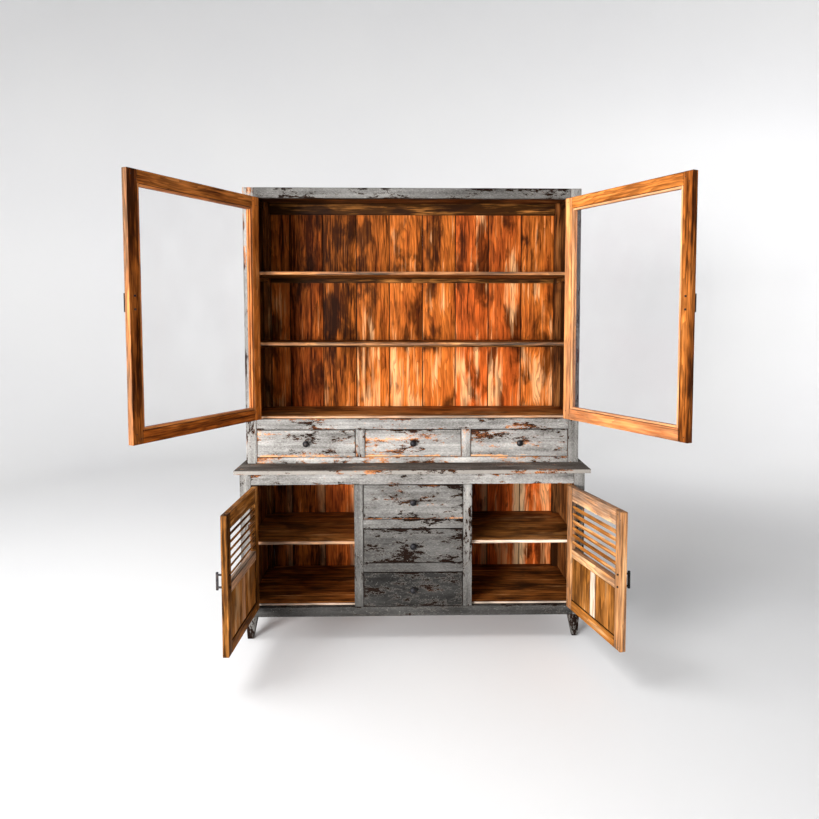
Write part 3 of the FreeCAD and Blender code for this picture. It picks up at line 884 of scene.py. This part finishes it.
def driven_heads():
    """A round head on every point, along the point's facing, with a driver slot if wanted."""
    tree, given = repeat_tree(
        "driven_heads",
        (("Head Diameter", "Float"), ("Head Rise", "Float"), ("Slot Width", "Float")),
    )
    rise = given["Head Rise"]
    rim = add(tree, "ShaderNodeMath", {0: given["Head Diameter"], 1: 0.5}, operation="MULTIPLY")
    crown = add(tree, "ShaderNodeMath", {0: rim.outputs[0], 1: 0.8}, operation="MULTIPLY")
    root = add(tree, "ShaderNodeMath", {0: rise, 1: -3.0}, operation="MULTIPLY")
    depth = add(tree, "ShaderNodeMath", {0: rise, 1: 4.0}, operation="MULTIPLY")
    head = add(
        tree,
        "GeometryNodeMeshCone",
        {
            "Vertices": 14,
            "Radius Top": crown.outputs[0],
            "Radius Bottom": rim.outputs[0],
            "Depth": depth.outputs[0],
        },
    )
    sunk = add(tree, "ShaderNodeCombineXYZ", {2: root.outputs[0]})
    head = add(
        tree,
        "GeometryNodeTransform",
        {"Geometry": head.outputs[0], "Translation": sunk.outputs[0]},
    )
    groove_size = add(
        tree,
        "ShaderNodeCombineXYZ",
        {0: given["Head Diameter"], 1: given["Slot Width"], 2: depth.outputs[0]},
    )
    groove = add(tree, "GeometryNodeMeshCube", {"Size": groove_size.outputs[0]})
    lifted = add(tree, "ShaderNodeMath", {0: rise, 1: 1.5}, operation="MULTIPLY")
    up = add(tree, "ShaderNodeCombineXYZ", {2: lifted.outputs[0]})
    groove = add(
        tree,
        "GeometryNodeTransform",
        {"Geometry": groove.outputs[0], "Translation": up.outputs[0]},
    )
    slotted = add(
        tree,
        "GeometryNodeMeshBoolean",
        {"Mesh 1": head.outputs[0], "Mesh 2": groove.outputs[0]},
        operation="DIFFERENCE",
    )
    has_slot = add(
        tree, "FunctionNodeCompare", {0: given["Slot Width"], 1: 0.0}, operation="GREATER_THAN"
    )
    head = add(
        tree,
        "GeometryNodeSwitch",
        {"Switch": has_slot.outputs[0], "False": head.outputs[0], "True": slotted.outputs[0]},
        input_type="GEOMETRY",
    )
    facing = add(
        tree,
        "GeometryNodeInputNamedAttribute",
        {"Name": "facing"},
        data_type="FLOAT_VECTOR",
    )
    straight = add(
        tree, "FunctionNodeAlignRotationToVector", {"Vector": facing.outputs[0]}, axis="Z"
    )
    quarter = add(tree, "FunctionNodeRandomValue", {2: 0.0, 3: 3.14, "Seed": given["Seed"]})
    spin = add(tree, "ShaderNodeCombineXYZ", {2: quarter.outputs[1]})
    turned = add(
        tree,
        "FunctionNodeRotateRotation",
        {"Rotation": straight.outputs[0], "Rotate By": spin.outputs[0]},
        rotation_space="LOCAL",
    )
    heads = add(
        tree,
        "GeometryNodeInstanceOnPoints",
        {
            "Points": given["Geometry"],
            "Instance": head.outputs[0],
            "Rotation": turned.outputs[0],
        },
    )
    end_tree(tree, heads.outputs[0], given["Finish"])
    return tree


SLAT_STACK = slat_stack()
DRIVEN_HEADS = driven_heads()


def louvre_slats(node, material, paint, tone, seed):
    """A door's slats: the lowest one, worked, and then stacked."""
    body = body_of(node)
    boards = sorted(boards_of(node, shut_turn(body)), key=lambda b: reach_of(b)[0].z)
    pitch = reach_of(boards[1])[0].z - reach_of(boards[0])[0].z
    piece = timber_mesh(node, boards[:1], material, paint, edge=1.5, wear=0.35, dirt=0.3)
    for label in ("board_mark", "board_tone"):
        piece.data.attributes.remove(piece.data.attributes[label])
    run_tree(
        piece,
        SLAT_STACK,
        count=len(boards),
        pitch=pitch,
        tone=tone,
        seed=seed,
        finish=material,
    )
    settle(piece, body, "door_teak", node)


def driven(name, body, spots, finish, seed, **sizes):
    """Screws or nails at spots given with the doors shut, as places and facings."""
    back = shut_turn(body).inverted()
    piece = new_piece(name, [back @ Vector(place) for place, _ in spots], [], [finish])
    ways = [c for _, facing in spots for c in back.to_3x3() @ Vector(facing)]
    give(piece, "facing", "FLOAT_VECTOR", "POINT", ways)
    run_tree(piece, DRIVEN_HEADS, seed=seed, finish=finish, **sizes)
    settle(piece, body, "black_iron")


# ---------------------------------------------------------------- paint
#
# What is left on a face: sound paint is 1, small numbers are mostly worn away, and 0 never
# had any. Each rule gets the face's direction with its door shut, and its board's middle.


def outwards(normal, middle):
    return normal.x * math.copysign(1, middle.x) > LOOKS


def painted_outside(normal, middle):
    front = middle.y < 0.3 and normal.y < -LOOKS
    return float(outwards(normal, middle) or front or normal.z > LOOKS)


def painted_front(left):
    """Paint on a front: this much is left on its face, and less on its edges."""

    def rule(normal, middle):
        return left if normal.y < -LOOKS else 0.8 * left * (normal.y < LOOKS)

    return rule


def painted_door(normal, middle):
    return float(normal.y < -LOOKS)


def painted_sides(normal, middle):
    return float(outwards(normal, middle) or normal.z > LOOKS)


def painted_over(normal, middle):
    return 1.0


def half_painted(normal, middle):
    return 0.68


def painted_top(normal, middle):
    return float(normal.z > -LOOKS)


# Painted shade: the posts at the right, on the side away from the light, are darker.
def right_darker(middle):
    return -0.1 if middle.x < 0 else -0.3


# The paint is lightest round the small drawers, and darker to the floor and to the top,
# partly from dirt and partly as painted shade: tones by height in metres.
GRIME = ((0.0, -0.76), (0.24, -0.88), (0.43, -0.76), (0.72, -0.2), (0.86, -0.08), (2.0, -0.55))


def grimed(middle):
    for (z0, tone0), (z1, tone1) in zip(GRIME, GRIME[1:]):
        if middle.z <= z1:
            return tone0 + (tone1 - tone0) * (middle.z - z0) / (z1 - z0)
    return GRIME[-1][1]


# How much lighter or darker the bare inner faces of the sides are than the outer ones.
INSIDE = {"base_side_boards": 0.3, "hutch_side_boards": -0.35, "hutch_side_rails": -0.35}

for node, paint, tone, tones, dirt in (
    ("base_posts", painted_outside, -0.5, (0.0,), 0.2),
    ("base_feet", half_painted, -0.56, (0.0,), 0.2),
    ("base_face_frame", painted_front(1.12), grimed, (0.0, 0.0, 0.2, 0.25, 0.1, 0.1), 0.3),
    ("base_side_rails", painted_sides, -0.35, (0.0,), 0.3),
    ("base_side_boards", painted_sides, -0.4, (0.0,), 0.5),
    ("hutch_posts", painted_outside, right_darker, (0.0,), 0.2),
    ("hutch_face_frame", painted_front(1.0), grimed, (0.3, -0.1, 0.0, 0.0, 0.0), 0.3),
    ("hutch_side_rails", painted_sides, -0.25, (0.0,), 0.3),
    ("hutch_side_boards", painted_sides, -0.25, (0.0,), 0.5),
    ("hutch_top", painted_top, -0.3, (0.0,), 0.4),
    # The dark round a drawer front is dirt and painted shade in the gap round it.
    ("left_small_drawer_front", painted_front(1.0), grimed, (0.06,), 0.9),
    ("middle_small_drawer_front", painted_front(1.0), grimed, (-0.06,), 0.9),
    ("right_small_drawer_front", painted_front(1.0), grimed, (0.09,), 0.9),
    ("high_large_drawer_front", painted_front(0.92), grimed, (-0.08,), 0.9),
    ("middle_large_drawer_front", painted_front(0.83), grimed, (0.08,), 0.9),
    ("low_large_drawer_front", painted_front(0.85), grimed, (-0.04,), 0.9),
):
    timber_piece(
        node,
        GREY_PAINT,
        "grey_paint",
        paint,
        tone,
        tones=tones,
        dirt=dirt,
        # Painted shade: the base is darker towards the floor.
        upwards=0.6 if node.startswith("base") else 0.0,
        inside=INSIDE.get(node, 0.0),
    )


# Painted shade: the rail under the top gets the least light, so it is darker than the other
# rails and cleats.
def smoked_rail(middle):
    return -0.66 if middle.z > 1.9 else -0.5


# The front edges are pale: partly wear, partly a painted highlight where light catches them.
for node, tone, front in (
    ("base_floor", -0.32, (0.6,)),
    ("base_shelves", -0.06, (0.2, 0.78)),
    ("hutch_floor", -0.06, (0.3,)),
    ("hutch_shelves", -0.33, (0.08,)),
    ("hutch_rails_and_cleats", smoked_rail, (0.0,)),
):
    timber_piece(node, BROWN_TEAK, "raw_teak", None, tone, edge=1.2, dirt=0.5, rubbed=front)

for node, tone in (
    ("base_dividers", -0.25),
    ("base_runners_and_cleats", -0.4),
    ("hutch_drawer_deck", -0.2),
    ("left_small_drawer_box", 0.0),
    ("middle_small_drawer_box", 0.0),
    ("right_small_drawer_box", 0.0),
    ("low_large_drawer_box", 0.0),
    ("middle_large_drawer_box", 0.0),
    ("high_large_drawer_box", 0.0),
):
    timber_piece(node, RAW_TEAK, "raw_teak", None, tone, edge=1.2, dirt=0.5)

# Back boards, from the right: each was another plank before. Their tones darken the boards at
# the left as painted shade, and they are painted darker or lighter by height as painted shade
# too.
timber_piece(
    "base_back_boards",
    SAPWOOD_TEAK,
    "raw_teak",
    tone=0.0,
    tones=(0.3, 0.3, -0.1, 0.0, 0.0, -0.15, -0.15, -0.25, -0.35),
    edge=3.0,
    wear=0.1,
    dirt=0.95,
    upwards=0.5,
)
timber_piece(
    "hutch_back_boards",
    RAW_TEAK,
    "raw_teak",
    tone=0.07,
    tones=(-0.04, -0.04, 0.0, -0.01, -0.02, -0.17, -0.5, -0.46, -0.04),
    edge=3.0,
    wear=0.1,
    dirt=0.95,
    upwards=-0.55,
)

timber_piece(
    "counter_boards",
    COUNTER_TOP,
    "worn_counter",
    painted_over,
    dirt=0.3,
    rubbed=(0.36,),
)


def joint_round(node):
    """Painted shade in the gap between a frame and the beads that lie inside it, along the
    beads' outer edges.
    """
    reaches = [reach_of(loops) for loops in boards_of(node, shut_turn(body_of(node)))]
    hub = sum(((low + high) / 2 for low, high in reaches), Vector()) / len(reaches)

    def dirt(spot, middle):
        out = middle - hub
        way = 0 if abs(out.x) > abs(out.z) else 2
        return 0.95 if (spot - middle)[way] * out[way] > 0 else 0.0

    return dirt


# The doors of each side. Tones and sapwood go from the hinge stile to the free stile and then
# up the rails.
DOORS = {
    "left": {
        "lit": -0.05,
        "lot": "",
        "glazed_tones": (0.15, -0.33, -0.1, -0.1),
        "glazed_sap": (0.0,),
        "bead_sap": 0.15,
        "free_edge_rub": 0.2,
        "louvred_tones": (0.0, -0.4, -0.1, 0.1, -0.1),
        "louvred_sap": (0.0, 0.0, 0.0, 0.3, 0.0),
        "slat_tone": 0.1,
        "slat_seed": 3,
        "panel_lit": 0.15,
        "strip_sap": 0.22,
    },
    "right": {
        "lit": 0.0,
        "lot": "second log",
        "glazed_tones": (0.1, -0.3, 0.1, -0.1),
        "glazed_sap": (0.3, 0.0, 0.25, 0.0),
        "bead_sap": 0.6,
        "free_edge_rub": 0.0,
        "louvred_tones": (0.04, -0.18, -0.05, 0.32, 0.1),
        "louvred_sap": (0.1, 0.1, 0.0, 0.12, 0.2),
        "slat_tone": 0.3,
        "slat_seed": 8,
        "panel_lit": -0.12,
        "strip_sap": 0.75,
    },
}
for side, look in DOORS.items():
    glazed, louvred = side + "_glazed_door", side + "_louvred_door"
    timber_piece(
        glazed + "_frame",
        RED_DOOR_TEAK,
        "door_teak",
        painted_door,
        look["lit"],
        tones=look["glazed_tones"],
        dirt=0.5,
        rubbed=(look["free_edge_rub"],),
        rubbed_way=(1, 0, 0),
        sapwood=look["glazed_sap"],
    )
    timber_piece(
        glazed + "_beads",
        RED_DOOR_TEAK,
        "door_teak",
        None,
        look["lit"] + 0.2,
        edge=1.5,
        dirt=joint_round(glazed + "_beads"),
        sapwood=(look["bead_sap"],),
    )
    timber_piece(
        louvred + "_frame",
        HONEY_DOOR_TEAK,
        "door_teak",
        painted_door,
        look["lit"],
        tones=look["louvred_tones"],
        dirt=0.4,
        sapwood=look["louvred_sap"],
        # Painted shade on the edges round the louvre opening.
        reveal=-0.6,
        lot=look["lot"],
    )
    louvre_slats(
        louvred + "_slats",
        HONEY_DOOR_TEAK,
        painted_door,
        look["slat_tone"],
        look["slat_seed"],
    )
    timber_piece(
        louvred + "_panel_boards",
        HONEY_DOOR_TEAK,
        "door_teak",
        painted_door,
        look["panel_lit"],
        tones=(-0.2, 0.2, -0.1),
        grain=2,
        dirt=0.8,
        sapwood=(0.0, look["strip_sap"], 0.0),
    )

# ---------------------------------------------------------------- ironwork and glass


def iron_piece(node):
    """Forged iron in a node's place, with its hard edges rubbed over."""
    verts, faces = [], []
    for loops in boards_of(node, Matrix.Identity(4)):
        bm = eased_shell(loops, 0.5 * MM, 3 * MM)
        first = len(verts)
        for i, v in enumerate(bm.verts):
            v.index = first + i
            verts.append(v.co.copy())
        faces += [[v.index for v in f.verts] for f in bm.faces]
        bm.free()
    piece = new_piece(node + "_forged", verts, faces, [BLACK_IRON], 35)
    settle(piece, body_of(node), "black_iron", node)


# From the drawer front outwards: radius and reach in millimetres.
KNOB_PROFILE = (
    (10.0, 0.0),
    (10.0, 1.8),
    (9.2, 3.0),
    (6.8, 4.0),
    (5.9, 6.5),
    (6.2, 9.4),
    (8.4, 11.1),
    (12.2, 11.7),
    (14.0, 13.0),
    (14.5, 15.2),
    (14.0, 17.8),
    (12.4, 20.5),
    (9.6, 22.8),
    (5.6, 24.4),
)


def turned_knob(node):
    """A knob turned from bar, a little uneven from filing."""
    low, high = (Vector(c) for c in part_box(node))
    middle = (low + high) / 2
    seat, reach = high.y, high.y - low.y
    around = 28
    verts = []
    for radius, out in KNOB_PROFILE:
        for n in range(around):
            a = 2 * math.pi * n / around
            flat = Vector((math.cos(a), 0.0, math.sin(a)))
            filed = Vector((out / 6, middle.x * 9, middle.z * 9))
            dent = 0.25 * abs(noise.noise(flat * 2.2 + filed))
            verts.append(
                Vector((middle.x, seat - out * MM, middle.z)) + flat * (radius - dent) * MM
            )
    verts.append(Vector((middle.x, seat, middle.z)))
    verts.append(Vector((middle.x, seat - reach, middle.z)))
    faces = []
    last = (len(KNOB_PROFILE) - 1) * around
    for n in range(around):
        m = (n + 1) % around
        for k in range(len(KNOB_PROFILE) - 1):
            a, b = k * around, (k + 1) * around
            faces.append((a + n, a + m, b + m, b + n))
        faces.append((len(verts) - 2, m, n))
        faces.append((len(verts) - 1, last + n, last + m))
    piece = new_piece(node + "_turned", verts, faces, [BLACK_IRON], 50)
    settle(piece, body_of(node), "black_iron", node)


for node, thing in frame["nodes"].items():
    if node.endswith("_knob"):
        turned_knob(node)
    elif node.endswith(("_pull", "_hinge_leaves")):
        iron_piece(node)
    elif node.endswith("_pane"):
        for spot in thing.material_slots:
            spot.material = WINDOW_GLASS

LEAF_GAP = 0.4 * MM  # from the pin line to a leaf's face
SCREW_RISE = 18 * MM  # above and below a leaf's middle
SCREW_INSET = 11 * MM  # from a leaf's edge
NAIL_INSET = 28 * MM  # from a back board's edge
PIN_SHIFT = 9 * MM  # between the two nails of a joint, each way
STILE = 0.4  # metres: a longer board of a door's frame stands upright


def leaf_screws(node):
    """Two countersunk screws in each hinge leaf of a node."""
    body = body_of(node)
    spots = []
    for loops in boards_of(node, shut_turn(body)):
        low, high = reach_of(loops)
        middle = (low + high) / 2
        side = math.copysign(1, middle.x)
        away = side if body == "carcass" else -side
        for rise in (-SCREW_RISE, SCREW_RISE):
            place = (middle.x + away * LEAF_GAP, high.y - SCREW_INSET, middle.z + rise)
            spots.append((place, (-away, 0.0, 0.0)))
    return spots


for seed, node in enumerate(n for n in sorted(frame["nodes"]) if n.endswith("_hinge_leaves")):
    driven(
        node.replace("leaves", "screws"),
        body_of(node),
        leaf_screws(node),
        BRIGHT_STEEL,
        seed,
        head_diameter=7 * MM,
        head_rise=0.2 * MM,
        slot_width=1.1 * MM,
    )

# Nails through the back boards into the rails behind which they lie.
back_nails = []
for node, levels in (
    ("base_back_boards", (0.128, 0.72)),
    ("hutch_back_boards", (0.777, 1.2855, 1.6055, 1.958)),
):
    for loops in boards_of(node, Matrix.Identity(4)):
        low, high = reach_of(loops)
        for z in levels:
            for x in (low.x + NAIL_INSET, high.x - NAIL_INSET):
                back_nails.append(((x, high.y, z), (0.0, 1.0, 0.0)))
driven(
    "back_board_nails",
    "carcass",
    back_nails,
    BLACK_IRON,
    20,
    head_diameter=6 * MM,
    head_rise=0.5 * MM,
)

# Nails in the stiles of the doors, where a rail's tenon is pinned.
for seed, side in enumerate(("left", "right")):
    for kind, inset in (("glazed", 29), ("louvred", 24)):
        door = f"{side}_{kind}_door"
        spots = []
        for loops in boards_of(door + "_frame", shut_turn(door)):
            low, high = reach_of(loops)
            if high.z - low.z < STILE:
                continue
            x = (low.x + high.x) / 2
            for z in (low.z + inset * MM, high.z - inset * MM):
                for shift in (-PIN_SHIFT, PIN_SHIFT):
                    spots.append(((x + shift, high.y, z + shift), (0.0, 1.0, 0.0)))
        driven(
            door + "_pins",
            door,
            spots,
            BLACK_IRON,
            30 + seed,
            head_diameter=5 * MM,
            head_rise=0.4 * MM,
        )

# ---------------------------------------------------------------- camera, floor and light

# The camera fitted to the photograph: where it stands, how it is turned, and its focal length
# and the point straight ahead of it in pixels.
CAMERA_AT = (0.00402, -2.97039, 1.43401)
CAMERA_TURN = (86.532, 0.0, -1.296)  # degrees
FOCAL, AHEAD_X, AHEAD_Y = 689.904, 429.5, 357.145
SENSOR = 36.0  # millimetres

camera_data = bpy.data.cameras.new("camera")
camera = bpy.data.objects.new("camera", camera_data)
bpy.context.scene.collection.objects.link(camera)
bpy.context.scene.camera = camera
camera.location = CAMERA_AT
camera.rotation_euler = [math.radians(a) for a in CAMERA_TURN]
camera_data.sensor_width = SENSOR
camera_data.lens = SENSOR * FOCAL / IMAGE_SIDE
camera_data.shift_x = (IMAGE_SIDE / 2 - AHEAD_X) / IMAGE_SIDE
camera_data.shift_y = (AHEAD_Y - IMAGE_SIDE / 2) / IMAGE_SIDE


# Seamless studio paper: a flat floor that sweeps up all round, out of the way of any view.
def studio_paper():
    material = clouded(
        "matt_studio_paper",
        5 / 3,
        2.0,
        ((0.3, "#E4E4E5"), (0.7, "#E7E7E7")),
        {"Roughness": 0.9, "Specular IOR Level": 0.1},
    )[0]
    flat, sweep, top, around = 4.4, 2.0, 6.0, 96
    profile = [(flat / 2, 0.0), (flat, 0.0)]
    profile += [
        (flat + sweep * math.sin(a), sweep - sweep * math.cos(a))
        for a in (math.pi / 24 * n for n in range(1, 13))
    ]
    profile.append((flat + sweep, top))
    verts = [(0.0, 0.0, 0.0)]
    faces = []
    for r, z in profile:
        verts += [
            (r * math.cos(2 * math.pi * n / around), r * math.sin(2 * math.pi * n / around), z)
            for n in range(around)
        ]
    for n in range(around):
        m = (n + 1) % around
        faces.append((0, 1 + n, 1 + m))
        for k in range(len(profile) - 1):
            a, b = 1 + k * around, 1 + (k + 1) * around
            faces.append((a + n, b + n, b + m, a + m))
    return new_piece("studio_floor", verts, faces, [material], 60)


studio_paper()

world = bpy.data.worlds.new("studio")
bpy.context.scene.world = world
world.use_nodes = True
world.node_tree.nodes["Background"].inputs["Color"].default_value = linear("#FFFFFF")
world.node_tree.nodes["Background"].inputs["Strength"].default_value = 0.22


def softbox(name, at, towards, width, height, watts, spread=180):
    """A broad lamp that the camera doesn't see; its light spreads this many degrees."""
    data = bpy.data.lights.new(name, "AREA")
    data.shape = "RECTANGLE"
    data.size, data.size_y, data.energy = width, height, watts
    data.spread = math.radians(spread)
    lamp = bpy.data.objects.new(name, data)
    lamp.location = at
    lamp.visible_camera = False
    lamp.rotation_euler = (Vector(towards) - Vector(at)).to_track_quat("-Z", "Y").to_euler()
    bpy.context.scene.collection.objects.link(lamp)


softbox("key_low_left", (-3.1, -4.9, 1.3), (0.0, 0.2, 1.15), 2.6, 1.6, 505, 150)
softbox("top_left", (-2.6, -0.6, 4.6), (0.4, 0.2, 0.0), 2.5, 2.5, 135)
softbox("backdrop", (2.5, 3.0, 2.4), (3.8, 5.2, 0.9), 1.6, 1.6, 28)

bpy.context.scene.view_settings.view_transform = "Standard"
